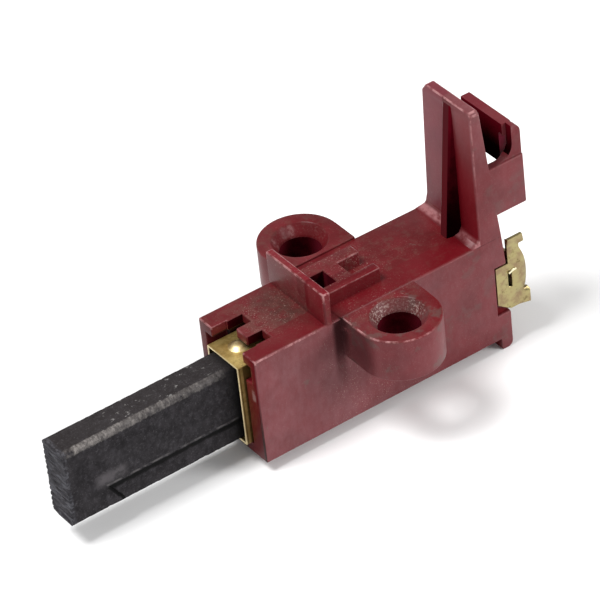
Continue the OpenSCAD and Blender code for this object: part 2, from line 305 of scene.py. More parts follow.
# painted shade with grime for the corner before the near ear
EAR_SHADE_AND_GRIME = (0.020, 0.0010, 0.0020)
BROWN_FILM = (0.112, 0.042, 0.034)
PARTING_DIRT = (0.03, 0.003, 0.005)
RUBBED_PINK = (0.43, 0.215, 0.215)
DULL_EDGE = (0.070, 0.0050, 0.0070)

# places of the two painted sheen patches on the far seat
FAR_SEAT_SHEEN_SPOTS = ((-2.6 * MM, 13.9 * MM), (0.8 * MM, 14.9 * MM))


def moulding_regions(f):
    """The parts of the moulding that several coats share."""
    on = SimpleNamespace()
    on.left_of_web = f.times(f.fade(f.y, WEB_FAR_Y, -0.3, 0.1), f.fade(f.x, TAB_FRONT, -0.2, -0.05),
                             f.fade(f.z, BODY_TOP, 0.8, 2.4))
    on.right_of_web = f.times(f.fade(f.y, WEB_NEAR_Y, 0.3, 0), f.fade(f.y, SIDE_Y, 0.3, 0.6),
                              f.fade(f.x, TAB_FRONT, 0.25, 0.05), f.fade(f.z, BODY_TOP, 27, 9))
    on.web = f.times(f.band(f.y, WEB_MIDDLE, -1, 1, 0.2), f.fade(f.x, TAB_FRONT, 0.1, 0),
                     f.fade(f.z, BODY_TOP, 1, 2))
    on.near_ear = f.fade(f.y, SIDE_Y, -0.15, -0.4)
    on.rear_side = f.most(f.fade(f.x, 0, 6, 12), f.fade(f.z, BODY_TOP, 0, 2))
    ear_flat = f.times(on.near_ear, f.fade(f.z, EAR_TOP, -0.35, -0.1))
    rib_end = f.times(f.band(f.x, RIB_FRONT, -0.4, 1.6, 0.3), f.fade(f.z, BODY_TOP, -0.3, 0.3))
    on.side = f.times(f.fade(f.y, SIDE_Y, 0.5, 0.1), f.but(ear_flat, 0.95), f.but(on.near_ear, 0.45),
                      f.but(on.rear_side, 0.36), f.but(rib_end, 0.8))
    on.nose = f.times(f.band(f.x, RIB_FRONT, -8.4, 0.1, 1.6), f.band(f.y, 0, -4.5, 5, 1.6),
                      f.fade(f.z, BODY_TOP, -0.5, -0.1))
    return on


def bloom(f, on, haze):
    """Grey-pink bloom: most on the side faces and the upper tab, least on the handled rear top."""
    upper = f.times(f.fade(f.z, BODY_TOP, 3, 16), f.but(f.most(on.right_of_web, on.web), 0.85))
    most = f.most(on.side, upper, on.left_of_web)
    front_top = f.times(f.fade(f.x, 0, 4, -4), f.fade(f.x, BODY_FRONT, 0.05, 0.25))
    share = f.math("ADD", f.times(most, 0.37), f.times(front_top, 0.06))
    drift = f.cloud(0.25, 0.80, 130, 3, 0.5)
    streak = f.cloud(0.30, 0.70, 1300, 5, 0.7, f.stretched((1, 1, 0.5), (0.013, 0, 0)))
    share = f.times(share, f.over(0.65, drift, 0.55), f.over(0.75, streak, 0.40))
    tab_haze = tuple(part * level for part, level in zip(PINKER, haze))
    f.coat(f.mix(on.left_of_web, haze, tab_haze), share)
    return share


def web_rib_and_hook(f, on):
    """Painted shade on the web, deeper reds on the rib's top and the hook, and a painted highlight on the
    crescent inside the hook.
    """
    # painted shade on the web
    f.coat(WEB_SHADE, on.web, 0.62)
    f.coat(RIB_RED, f.band(f.x, RIB_FRONT, 0.2, 0.95, 0.08), f.fade(f.z, RIB_TOP, -0.3, 0), 0.75)
    hook = f.times(f.fade(f.x, FINGER_X, -0.9, -0.3), f.fade(f.z, CHEEK_TOP, 0.1, 0.5))
    f.coat(HOOK_RED, hook, 0.60)
    # painted highlight on the lit crescent inside the hook
    f.coat(HOOK_CRESCENT_LIGHT, hook, f.fade(f.y, SIDE_Y, 1.3, 1.6), f.fade(f.x, FINGER_X, 1.2, 1.0),
           f.fade(f.z, CHEEK_TOP, 3.4, 2.6), 0.9)


def smudges(f, on):
    """Small soft smudges, thicker on the near ear and the rear of the side."""
    f.coat(GREY_GREEN, f.cloud(0.62, 0.72, 300, 5, 0.7, f.moved(0.031, 0.007, 0)), 0.45)
    f.coat(EAR_SMUDGE, f.cloud(0.54, 0.66, 330, 4, 0.6, f.moved(0.017, 0.011, 0.004)),
           f.most(on.near_ear, f.times(on.rear_side, on.side, 0.8)), 0.50)


def wear_on_top(f, on):
    """A scratched, greyer nose, dirt at the rib's foot, and grit that is thick round the pad."""
    f.coat(WORN_NOSE, on.nose, f.cloud(0.36, 0.62, 900, 5, 0.75), 0.40)
    f.coat(RIB_FOOT_DIRT, f.band(f.x, RIB_FRONT, -4.4, 0.2, 1.4), f.band(f.y, 0, -3.2, 5.2, 1.6),
           f.fade(f.z, BODY_TOP, 1.2, 0.1), f.fade(f.z, BODY_TOP, -0.5, -0.1),
           f.cloud(0.34, 0.60, 520, 5, 0.7), 0.60)
    by_pad = f.times(f.band(f.x, RIB_FRONT, -0.4, 13.6, 2.5), f.band(f.y, 0, -9, 6, 2))
    f.coat(PALE_GRIT, f.cloud(0.585, 0.69, 5200, 3, 0.65), f.cloud(0.30, 0.56, 420, 4, 0.6),
           f.over(0.12, f.most(by_pad, on.nose), 0.46))


def screw_seats(f):
    """Painted highlight speckle on the lit crescent of both sunk seats, and two painted sheen patches on the
    far one.
    """
    x, y = from_screw(f)
    out = f.math("SQRT", f.math("ADD", f.times(x, x), f.times(y, y)))
    sunk = f.fade(f.z, EAR_TOP, -0.05, -0.3)
    behind_hole = f.fade(f.math("ADD", f.times(x, 0.5), y), 0, -0.4, 1.6)
    seat = f.times(f.fade(out, SEAT_RADIUS, 0.1, -0.1), sunk, behind_hole,
                   f.over(0.10, f.fade(f.y, 0, 1, -1), 0.90))
    across = f.math("SUBTRACT", f.times(x, 0.81), f.times(y, 0.58))
    ends = f.fade(f.math("ABSOLUTE", across), 0, 0.8, 2.4)
    f.coat(SEAT_BROWN, seat, 0.45)
    # painted highlight speckle on the lit side of the seats
    f.coat(SEAT_HIGHLIGHT_SPECKLE, seat, f.cloud(0.49, 0.63, 3300, 4, 0.7), f.over(0.16, ends, 0.52))
    # painted sheen patches on the far seat
    for at_x, at_y in FAR_SEAT_SHEEN_SPOTS:
        f.coat(SEAT_SHEEN, f.band(f.x, at_x, -0.45, 0.45, 0.35), f.band(f.y, at_y, -0.5, 0.5, 0.4), sunk,
               f.cloud(0.35, 0.60, 1700, 4, 0.65), 0.42)


def tab_foot_and_front(f):
    """A painted highlight on the foot below the tab, and painted shade and a scar on the front face."""
    # painted highlight on the lit fillet at the tab's foot
    f.coat(FOOT_HIGHLIGHT, f.fade(f.x, TAB_FRONT, -1.4, -1.0), f.fade(f.x, TAB_FRONT, 0.05, -0.02),
           f.fade(f.z, BODY_TOP, 0.02, 0.25), f.fade(f.z, BODY_TOP, 1.15, 0.7),
           f.cloud(0.28, 0.60, 900, 4, 0.6), 0.55)
    front = f.fade(f.x, BODY_FRONT, 0.15, 0.03)
    low_down = f.fade(f.z, 0, 0.5, -8)
    by_guide = f.times(f.fade(f.y, SIDE_Y, 0.6, 2.6), f.fade(f.z, 0, 2, -2))
    # painted shade on the front face, low down and beside the guide
    f.coat(FRONT_SHADE, front, f.over(0.25, f.most(low_down, by_guide), 0.73))
    f.coat(PALE_SCAR, front, f.band(f.y, SIDE_Y, 0.85, 1.65, 0.12), f.band(f.z, 0, -0.9, 0.8, 0.25),
           f.cloud(0.38, 0.50, 1500, 3), 0.8)


def deep_shade(f):
    """Painted deep shade under the nose, and painted shade with grime in the corner before the near ear."""
    f.coat(NOSE_SHADE, f.band(f.x, BODY_FRONT, 0.15, 5.9, 0.1), f.fade(f.z, BODY_TOP, -1.25, -1.55),
           f.fade(f.math("ABSOLUTE", f.y), 0, 4.7, 4.4), 0.92)
    before_ear = f.times(f.band(f.x, EAR_START, -1.5, 0.15, 0.45), f.fade(f.z, 0, -6.5, 3.5),
                         f.fade(f.y, SIDE_Y, 0.3, 0.1), f.fade(f.z, BODY_TOP, -0.02, -0.15))
    ear_wall = f.times(f.fade(f.x, EAR_START, 0.15, 0.05), f.fade(f.x, EAR_START, -0.3, -0.1),
                       f.fade(f.y, SIDE_Y, -3.4, -0.6), f.fade(f.y, 0, 0, -1), f.fade(f.z, 0, -4, 4))
    # painted shade with grime in the concave corner at the ear's root
    shade_and_grime = f.times(f.most(before_ear, ear_wall), f.cloud(0.12, 0.42, 700, 4, 0.65))
    f.coat(EAR_SHADE_AND_GRIME, shade_and_grime, 0.90)
    return shade_and_grime


def film_and_lines(f, on):
    """A brown film behind the pad, painted shade in the corner beside the web and a darker red over the panel
    beyond, and the parting line below the tab.
    """
    f.coat(BROWN_FILM, f.cloud(0.46, 0.66, 640, 5, 0.7, f.moved(0.003, 0.019, 0)),
           f.fade(f.z, BODY_TOP, -0.2, -0.05), f.fade(f.z, BODY_TOP, 3, 2.5),
           f.fade(f.x, TAB_FRONT, -0.2, -5.6), 0.42)
    # painted shade in the corner beside the web
    f.coat(WEB_CORNER_SHADE, on.right_of_web, f.fade(f.y, WEB_NEAR_Y, -0.9, -0.1),
           f.fade(f.z, BODY_TOP, 0.6, 1.6), 0.80)
    f.coat(BESIDE_WEB, on.right_of_web, 0.55)
    f.coat(PARTING_DIRT, f.band(f.z, BODY_TOP, -0.02, 0.10, 0.05), f.fade(f.x, TAB_FRONT, -1.0, -0.4),
           on.side, f.cloud(0.30, 0.50, 900, 3), 0.85)


def rubbed_edges(f, on, scuff):
    """Edges rubbed pale where hands and tools reach, and left dull low on the rib."""
    rib = f.band(f.x, RIB_FRONT, -1.4, 1.6, 0.4)
    on_rib = f.times(rib, f.fade(f.z, BODY_TOP, 2.8, 4.6), 0.85)
    on_pad = f.times(f.band(f.x, RIB_FRONT, 1.6, 13.6, 0.4), f.fade(f.z, BODY_TOP, 1.5, 2.0), 0.30)
    on_tab = f.fade(f.z, BODY_TOP, 19, 21)
    nose_end = f.times(f.fade(f.x, BODY_FRONT, 2.9, 1.9), 0.7)
    nose_side = f.times(f.fade(f.y, SIDE_Y, 0.6, 0.3), f.fade(f.x, RIB_FRONT, -0.4, -2.4))
    on_nose = f.times(f.fade(f.z, BODY_TOP, -0.6, -0.3), f.most(nose_end, nose_side))
    on_ear = f.times(on.near_ear, f.fade(f.x, 0, 3, -1))
    tab_side = f.times(f.fade(f.y, SIDE_Y, 1, 0.5), f.fade(f.x, TAB_FRONT, -0.5, 0),
                       f.fade(f.x, TAB_FRONT, 1, 0.5), f.fade(f.z, BODY_TOP, 8, 14), 0.5)
    handled = f.most(on_rib, on_pad, on_tab, on_nose, on_ear, tab_side)
    f.coat(RUBBED_PINK, f.cloud(0.38, 0.62, 800, 4, 0.65), f.over(0.04, handled, 0.80), scuff)
    f.coat(DULL_EDGE, rib, f.fade(f.z, BODY_TOP, 4.6, 3.4), f.fade(f.z, BODY_TOP, 0, 0.3), 0.80)


def moulding_finish(name, dark, red, haze, scuff=0.0):
    """Filled thermoset: even maroon under a grey-pink bloom, grit, painted shade with grime in the corners,
    and painted highlights in a few places.
    """
    f = Finish(name)
    f.colour = f.mix(f.cloud(0.30, 0.72, 210, 4, 0.55), dark, red)
    on = moulding_regions(f)
    share = bloom(f, on, haze)
    web_rib_and_hook(f, on)
    smudges(f, on)
    wear_on_top(f, on)
    screw_seats(f)
    tab_foot_and_front(f)
    shade_and_grime = deep_shade(f)
    film_and_lines(f, on)
    if scuff:
        rubbed_edges(f, on, scuff)
    dry = f.math("ADD", f.times(on.nose, 0.10), f.times(shade_and_grime, 0.45))
    rough = f.math("ADD", f.over(0.34, share, 0.40), dry)
    normal = f.bump(f.noise(380, 4, 0.55), 0.25, 0.08 * MM)
    normal = f.bump(f.noise(2400, 4, 0.65), 0.40, 0.035 * MM, normal)
    return f.finish(rough, normal, specular=0.16)


# painted shade for the hollows, with painted light in red near their openings
HOLLOW_BLACK = (0.018, 0.0006, 0.0016)
HOLLOW_RED = (0.034, 0.0010, 0.0030)
BORE_RED = (0.120, 0.0080, 0.0160)
LIT_RED = (0.150, 0.0035, 0.0110)
NEAR_BLACK = (0.001, 0.0001, 0.0001)
WEB_END_LOW = (0.085, 0.0085, 0.0120)
WEB_END_HIGH = (0.066, 0.0100, 0.0130)


def hollow_finish():
    """The same moulding in painted shade, for walls that light hardly reaches: no bloom, painted light in red
    only near the openings.
    """
    f = Finish("painted_shade_hollow")
    f.colour = f.mix(f.cloud(0.35, 0.65, 700, 4, 0.6), HOLLOW_BLACK, HOLLOW_RED)

    # bores: painted shade, black down the middle of the wall, and painted light in red at its two sides
    x, y = from_screw(f)
    across = f.math("ABSOLUTE", f.math("SUBTRACT", f.times(x, 0.85), f.times(y, 0.52)))
    f.coat(BORE_RED, f.band(f.x, 0, -3.2, 3.2, 0.1), f.fade(across, 0, 1.0, 2.8),
           f.over(0.40, f.fade(f.y, 0, 0, 1), 0.35))

    # hook's finger and the web's flank: painted light in red towards the top, painted shade in black low down
    at_finger = f.fade(f.x, FINGER_X, -3.7, -1.7)
    at_web = f.band(f.x, TAB_FRONT, -2.6, 0.4, 0.3)
    f.coat(LIT_RED, f.most(f.times(at_finger, f.fade(f.z, CHEEK_TOP, 1.5, 5.5)),
                           f.times(at_web, f.fade(f.z, BODY_TOP, 9, 22))), 0.45)
    f.coat(NEAR_BLACK, f.most(f.times(at_web, f.fade(f.z, BODY_TOP, 11, 3)),
                              f.times(at_finger, f.fade(f.z, CHEEK_TOP, 3, 0.5))), 0.88)

    # the web's narrow end, dull and a little greyer towards the top
    f.coat(f.mix(f.fade(f.z, BODY_TOP, 6, 20), WEB_END_LOW, WEB_END_HIGH),
           f.band(f.x, TAB_FRONT, -3.6, 0.4, 0.2), f.fade(f.y, WEB_NEAR_Y, 0.50, 0.62),
           f.band(f.y, WEB_MIDDLE, -1.5, 1.5, 0.1))
    normal = f.bump(f.noise(2400, 4, 0.65), 0.30, 0.03 * MM)
    return f.finish(0.9, normal, specular=0.0)


# ---------------------------------------------------------------- finishes of the metal pieces

# brown stain, also laid as painted shade on the guide's side
BROWN_STAIN_AND_SHADE = (0.10, 0.065, 0.02)
FOLD_SHADOW = (0.06, 0.030, 0.003)
# painted highlight along the guide's cut edge
CUT_EDGE_HIGHLIGHT = (0.95, 0.80, 0.48)


def guide_wall(f, shade, stain_and_shade):
    """The guide's side: painted shade over the wall, darker along its fold and at the gap, and a painted
    highlight along its cut edge.
    """
    wall = f.fade(f.z, GUIDE_TOP, -0.12, -0.40)
    # painted shade over the guide's side
    f.coat(stain_and_shade, wall, shade)
    fold = f.times(wall, f.band(f.x, GUIDE_FRONT, 0.22, 0.42, 0.05))
    gap = f.times(wall, f.fade(f.x, BODY_FRONT, -0.25, -0.10))
    f.coat(FOLD_SHADOW, f.most(fold, gap), 0.75)
    # painted highlight along the cut edge
    f.coat(CUT_EDGE_HIGHLIGHT, f.fade(f.x, GUIDE_FRONT, 0.16, 0.08), 0.70)


def metal_finish(name, base, dull, rough, stain_and_shade=BROWN_STAIN_AND_SHADE, stain_share=0.5, wall_shade=0.0,
                 metal=1.0):
    """Rolled or drawn metal: drag lines along the strip, tarnish clouds, brown stains, and with a wall_shade,
    painted shade on the guide's side.
    """
    f = Finish(name)
    drag = f.noise(1100, 3, 0.5, f.stretched((0.12, 1, 1)))
    tarnish = f.cloud(0.40, 0.66, 620, 5, 0.62)
    stains = f.cloud(0.56, 0.70, 1250, 5, 0.7, f.moved(0.004, 0, 0))
    f.colour = f.mix(tarnish, base, dull)
    f.coat(dull, f.ramp(drag, 0.45, 0.75), 0.3)
    f.coat(stain_and_shade, stains, stain_share)
    if wall_shade:
        guide_wall(f, wall_shade, stain_and_shade)
    clean, spread = rough[0], rough[1] - rough[0]
    dulled = f.math("ADD", f.times(tarnish, spread * 0.7), f.over(clean, stains, spread * 0.6))
    normal = f.bump(f.noise(500, 3), 0.35, 0.06 * MM)
    normal = f.bump(drag, 0.25, 0.02 * MM, normal)
    return f.finish(dulled, normal, metallic=metal)


# ---------------------------------------------------------------- finish of the block

CARBON_BLACK = (0.0095, 0.0083, 0.0095)
CARBON_GREY = (0.025, 0.0225, 0.0250)
CARBON_MOTTLE = (0.050, 0.046, 0.052)
WARM_TOP = (0.036, 0.030, 0.029)
CARBON_GRAIN = (0.090, 0.084, 0.090)
# rubbed pale, partly a painted highlight on the rounded edge
RUBBED_AND_LIT_GREY = (0.235, 0.215, 0.203)
# painted shade with grime along the step
STEP_SHADE_BLACK = (0.001, 0.001, 0.001)
PALE_LIP = (0.13, 0.122, 0.122)
GREY_SMUDGE = (0.112, 0.102, 0.108)
TIP_GREY = (0.045, 0.044, 0.052)
TIP_STROKE = (0.115, 0.115, 0.130)
GUIDE_SHADE = (0.004, 0.0035, 0.0035)
LIGHT_DUST = (0.30, 0.29, 0.28)


def rubbed_and_lit_band(f, patch):
    """Rubbed pale on both sides of the near top edge, partly a painted highlight on the rounded edge, with
    cross chatter, fading to the guide.
    """
    tip, side, top = CARBON_LOW.x, CARBON_LOW.y, CARBON_HIGH.z
    fray = f.times(f.math("SUBTRACT", f.noise(1900, 4, 0.7), 0.5), 0.8 * MM)
    near_side = f.fade(f.math("ADD", f.y, fray), side, 0.85, 0.60)
    near_top = f.fade(f.math("ADD", f.z, fray), top, -1.10, -0.75)
    chatter = f.cloud(0.40, 0.64, 1350, 4, 0.7, f.stretched((1, 0.25, 0.25)))
    chips = f.cloud(0.40, 0.60, 3000, 4, 0.7, f.stretched((1, 0.6, 0.6)))
    rubbed_and_lit = f.times(near_side, near_top, patch, f.band(f.x, tip, 0.7, 26.4, 0.5),
                     f.over(0.50, chatter, 0.50), f.over(0.45, chips, 0.55),
                     f.over(0.65, f.fade(f.x, tip, 14, 5), 0.35),
                     f.over(0.45, f.fade(f.x, tip, 26, 21), 0.55))
    # rubbed wear and painted highlight along the near top edge
    f.coat(RUBBED_AND_LIT_GREY, rubbed_and_lit, 0.95)
    return rubbed_and_lit


def step_shade_line(f, near):
    """A ragged black line along the step on the near side, painted shade with grime, with a pale broken lip
    above it.
    """
    tip, base = CARBON_LOW.x, CARBON_LOW.z
    step = base + STEP_TOP
    start = tip + STEP_START
    rise = f.times(f.math("SUBTRACT", f.z, step), STEP_SLANT / STEP_TOP)
    slant = f.math("ADD", f.x, rise)
    past = f.fade(slant, start, -0.15, 0.05)
    ragged = f.times(f.math("SUBTRACT", f.noise(800, 4, 0.7), 0.5), 0.9 * MM)
    uneven = f.math("ADD", f.z, ragged)
    along = f.math("SUBTRACT", f.fade(uneven, step, -1.05, -0.65), f.fade(uneven, step, 0.06, 0.18))
    wander = f.math("ADD", slant, ragged)
    front = f.math("SUBTRACT", f.fade(wander, start, -0.45, -0.25), f.fade(wander, start, 0.15, 0.35))
    front = f.times(front, near, f.fade(f.z, step, 0, -0.2))
    # painted shade with grime: the black line along the step and its slanted front end
    f.coat(STEP_SHADE_BLACK, f.most(f.times(along, near, past), front), 0.96)
    f.coat(PALE_LIP, f.band(f.z, step, 0.22, 0.50, 0.08), near, past, f.cloud(0.42, 0.62, 700, 4, 0.65), 0.60)


def carbon_finish():
    """Pressed carbon: fine grain, a rubbed band with a painted highlight along the near top edge, and painted
    shade with grime along the step.
    """
    f = Finish("pressed_carbon")
    tip, side, base, top = CARBON_LOW.x, CARBON_LOW.y, CARBON_LOW.z, CARBON_HIGH.z
    grain = f.noise(4200, 5, 0.72)
    clouds = f.noise(420, 6, 0.65)
    patch = f.cloud(0.30, 0.52, 650, 5, 0.7)
    near = f.fade(f.y, side, 0.45, 0.30)
    f.colour = f.mix(f.ramp(clouds, 0.32, 0.70), CARBON_BLACK, CARBON_GREY)
    f.coat(CARBON_MOTTLE, f.cloud(0.46, 0.66, 1500, 4, 0.65, f.stretched((1, 1, 0.7))), 0.35)
    f.coat(WARM_TOP, f.fade(f.z, top, -0.35, -0.10), 0.45)
    f.coat(CARBON_GRAIN, f.ramp(grain, 0.54, 0.70), 0.50)
    rubbed_and_lit = rubbed_and_lit_band(f, patch)
    step_shade_line(f, near)
    f.coat(GREY_SMUDGE, f.band(f.x, tip, 4.6, 9.2, 0.8), f.band(f.z, base, 4.3, 6.1, 0.6), near,
           f.over(0.4, patch, 0.6), 0.56)

    # greyer wearing face, and the part that stays in the guide's shade
    on_tip = f.fade(f.x, tip, 0.75, 0.45)
    strokes = f.cloud(0.46, 0.64, 1500, 4, 0.7, f.stretched((1, 0.35, 1.25)))
    f.coat(TIP_GREY, on_tip, f.cloud(0.35, 0.60, 900, 4, 0.65), 0.40)
    f.coat(TIP_STROKE, on_tip, strokes, 0.55)
    f.coat(GUIDE_SHADE, f.fade(f.x, BODY_FRONT, -2.6, -1.0), 0.75)

    # chips of light dust on the top face
    dust = f.cloud(0.60, 0.68, 1150, 4, 0.72, f.stretched((0.7, 1, 1), (0, 0.002, 0)))
    f.coat(LIGHT_DUST, dust, f.fade(f.z, top, -0.4, -0.1), f.fade(f.x, tip, 5, 11),
           f.fade(f.x, tip, 27, 22), 0.7)

    rough = f.math("SUBTRACT", 0.60, f.times(rubbed_and_lit, 0.18))
    normal = f.bump(clouds, 0.4, 0.12 * MM)
    normal = f.bump(grain, 0.7, 0.05 * MM, normal)
    return f.finish(rough, normal, specular=0.07)


MOULDING = moulding_finish("dusty_moulding", SMOOTH_DARK, SMOOTH_RED, SMOOTH_BLOOM)
WORN_EDGE = moulding_finish("rubbed_mould_edge", EDGE_DARK, EDGE_RED, EDGE_BLOOM, scuff=0.9)
HOLLOW = hollow_finish()
GUIDE_BRASS = metal_finish("guide_brass", base=(0.74, 0.54, 0.190), dull=(0.44, 0.29, 0.085),
                           rough=(0.28, 0.46), wall_shade=0.50, metal=0.72)
RUBBED_BRASS = metal_finish("rubbed_brass", base=(0.74, 0.60, 0.32), dull=(0.52, 0.38, 0.16),
                            rough=(0.42, 0.54), stain_share=0.35)
BRIGHT_LIP = metal_finish("bright_lip", base=(0.92, 0.86, 0.62), dull=(0.80, 0.72, 0.46),
                          rough=(0.30, 0.42), stain_share=0.1)
# painted shade: the barrel's inner turn, darkened behind the slot
INNER_TURN = metal_finish("shaded_turn", base=(0.10, 0.085, 0.040), dull=(0.05, 0.040, 0.020),
                          rough=(0.50, 0.70))
TERMINAL_BRASS = metal_finish("terminal_brass", base=(0.37, 0.315, 0.148), dull=(0.275, 0.195, 0.110),
                              rough=(0.28, 0.46), stain_and_shade=(0.11, 0.078, 0.025), stain_share=0.60)
STEEL = metal_finish("drawn_steel", base=(0.55, 0.55, 0.55), dull=(0.36, 0.35, 0.34),
                     rough=(0.25, 0.45))
COPPER = metal_finish("bare_copper", base=(0.80, 0.38, 0.22), dull=(0.48, 0.22, 0.13),
                      rough=(0.30, 0.50))
PRESSED_CARBON = carbon_finish()


# ---------------------------------------------------------------- dressed copies of the solids

def deselect():
    if bpy.context.object and bpy.context.object.mode != "OBJECT":
        bpy.ops.object.mode_set(mode="OBJECT")
    bpy.ops.object.select_all(action="DESELECT")


def pick(piece):
    deselect()
    piece.select_set(True)
    bpy.context.view_layer.objects.active = piece


def smooth_below(piece, degrees):
    """Smooth shading, with edges sharper than the angle left crisp."""
    pick(piece)
    bpy.ops.object.shade_smooth_by_angle(angle=math.radians(degrees))
    deselect()


def merged_copy(name, node, finishes, flat_below=None):
    """A solid's mesh as a new piece: its loose triangles merged, and its flats made one face."""
    mesh = frame["nodes"][node].data.copy()
    piece = bpy.data.objects.new(name, mesh)
    bpy.context.scene.collection.objects.link(piece)
    pick(piece)
    bpy.ops.object.mode_set(mode="EDIT")
    bpy.ops.mesh.select_all(action="SELECT")
    bpy.ops.mesh.remove_doubles(threshold=1e-6)
    if flat_below is not None:
        bpy.ops.mesh.dissolve_limited(angle_limit=flat_below)
    bpy.ops.object.mode_set(mode="OBJECT")
    mesh.materials.clear()
    for finish in finishes:
        mesh.materials.append(finish)
    return piece


FLAT_BELOW = math.radians(0.5)
ROUNDED_FROM = math.radians(25)
CROWDED_BELOW = math.radians(150)
ROOM_SHARE = 0.42
SMOOTH_BELOW = 28


def edge_sides(mesh, points):
    """For each edge, the normal of every face on it and the edge's run as that face goes round."""
    sides = {}
    for face in mesh.polygons:
        ring = list(face.vertices)
        for a, b in zip(ring, ring[1:] + ring[:1]):
            sides.setdefault((min(a, b), max(a, b)), []).append((face.normal, points[b] - points[a]))
    return sides


def edges_at_corners(mesh, points):
    """For each vertex, the edges that meet there and how each one runs away from it."""
    meeting = {}
    for edge in mesh.edges:
        a, b = edge.vertices
        meeting.setdefault(a, []).append((edge.index, points[b] - points[a]))
        meeting.setdefault(b, []).append((edge.index, points[a] - points[b]))
    return meeting


def is_rounded(pair):
    """True where two faces meet at an angle that stands out and isn't hollow."""
    if len(pair) != 2 or pair[0][0].angle(pair[1][0]) < ROUNDED_FROM:
        return False
    (normal, _), (other, along) = pair
    return other.cross(along).dot(normal) <= 0


def bevel_shares(mesh, width, sharp):
    """How much of the bevel each edge takes: less where its neighbours leave little room."""
    points = [vertex.co for vertex in mesh.vertices]
    sides = edge_sides(mesh, points)
    meeting = edges_at_corners(mesh, points)
    shares = []
    for edge in mesh.edges:
        a, b = edge.vertices
        kept_sharp = sharp and (sharp(points[a]) or sharp(points[b]))
        if kept_sharp or not is_rounded(sides.get((min(a, b), max(a, b)), [])):
            shares.append(0.0)
            continue
        room = width
        for corner, run in ((a, points[b] - points[a]), (b, points[a] - points[b])):
            for index, branch in meeting[corner]:
                turn = run.angle(branch)
                if index != edge.index and turn < CROWDED_BELOW:
                    room = min(room, ROOM_SHARE * branch.length * max(0.2, math.sin(turn)))
        shares.append(room / width)
    return shares


def dressed(name, node, body, finishes, width, segments=2, sharp=None):
    """A merged copy of a solid with its edges rounded; the last finish goes on the edges."""
    piece = merged_copy(name, node, finishes, FLAT_BELOW)
    mesh = piece.data
    for face in mesh.polygons:
        face.material_index = 0
    shares = mesh.attributes.new("bevel_weight_edge", "FLOAT", "EDGE")
    shares.data.foreach_set("value", bevel_shares(mesh, width, sharp))
    bevel = piece.modifiers.new("edges", "BEVEL")
    bevel.width = width
    bevel.segments = segments
    bevel.limit_method = "WEIGHT"
    bevel.use_clamp_overlap = False
    bevel.harden_normals = False
    if len(finishes) > 1:
        bevel.material = len(finishes) - 1
    bpy.ops.object.modifier_apply(modifier="edges")
    smooth_below(piece, SMOOTH_BELOW)
    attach(piece, body)
    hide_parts(node)
    return piece


ALONG = Vector((1, 0, 0))
UPWARDS = Vector((0, 0, 1))


def cut_across(piece, axis, start, pitch, count):
    """Evenly spaced rings of cuts, so that the faces between can be shaped."""
    pick(piece)
    bpy.ops.object.mode_set(mode="EDIT")
    for i in range(count):
        bpy.ops.mesh.select_all(action="SELECT")
        bpy.ops.mesh.bisect(plane_co=axis * (start + pitch * i), plane_no=axis)
    bpy.ops.object.mode_set(mode="OBJECT")


# ---------------------------------------------------------------- the moulded holder

HOLDER_EDGE = 0.20 * MM
MOULDING_INDEX, HOLLOW_INDEX, EDGE_INDEX = 0, 1, 2


def in_hook(point):
    """True in the hook's slotted corner, where the edges stay as moulded."""
    return point.x > FINGER_X - 0.5 * MM and point.z > CHEEK_TOP + 0.6 * MM


def from_screw_axis(point):
    return math.hypot(point.x, abs(point.y) - SCREW_SPACING / 2)


def plain_edge(face):
    """True for the rounded edges that nothing rubs: round the bores and the pad's openings."""
    at = face.center
    margin = 0.3 * MM
    in_window = (WINDOW_X[0] - margin < at.x < WINDOW_X[1] + 4 * MM
                 and WINDOW_Y[0] - margin < at.y < WINDOW_Y[1] + margin and at.z < RIB_TOP - 2 * MM)
    under_ear = abs(at.y) > -SIDE_Y + 0.1 * MM and at.z < 0.4 * MM
    in_nose = at.x < -14 * MM and at.z < BODY_TOP - 0.25 * MM and abs(at.y) < 3.6 * MM
    return from_screw_axis(at) < SEAT_RADIUS + margin or in_window or under_ear or in_nose


def on_web(at, out):
    """True on the web's near flank and on its narrow end."""
    if at.z < BODY_TOP + 1 * MM or abs(at.x - TAB_FRONT + 0.9 * MM) > 1.3 * MM:
        return False
    if out.y < -0.3:
        return abs(at.y - WEB_NEAR_Y) < 0.9 * MM
    return out.x < -0.5 and WEB_NEAR_Y < at.y < WEB_FAR_Y - 0.25 * MM and at.x < TAB_FRONT - 0.1 * MM


def in_hollow(face):
    """True for the walls that light hardly reaches."""
    at, out = face.center, face.normal
    in_bore = from_screw_axis(at) < SCREW_RADIUS + 0.2 * MM and abs(out.z) < 0.4
    in_curve = in_hook(at) and out.x < -0.15 and at.y < SIDE_Y + 1.5 * MM
    on_finger = out.x < -0.9 and abs(at.x - FINGER_X) < 0.1 * MM and at.z > CHEEK_TOP - 3 * MM
    upright = abs(out.z) < 0.3
    in_window = (upright and at.z < BODY_TOP + 2.1 * MM and WINDOW_X[0] < at.x < WINDOW_X[1]
                 and WINDOW_Y[0] < at.y < WINDOW_Y[1])
    in_slot = (upright and at.z < BODY_TOP and BODY_FRONT + 1 * MM < at.x < SLOT_END
               and SLOT_EDGE_Y[0] < abs(at.y) < SLOT_EDGE_Y[1])
    return in_bore or in_curve or on_web(at, out) or on_finger or in_window or in_slot


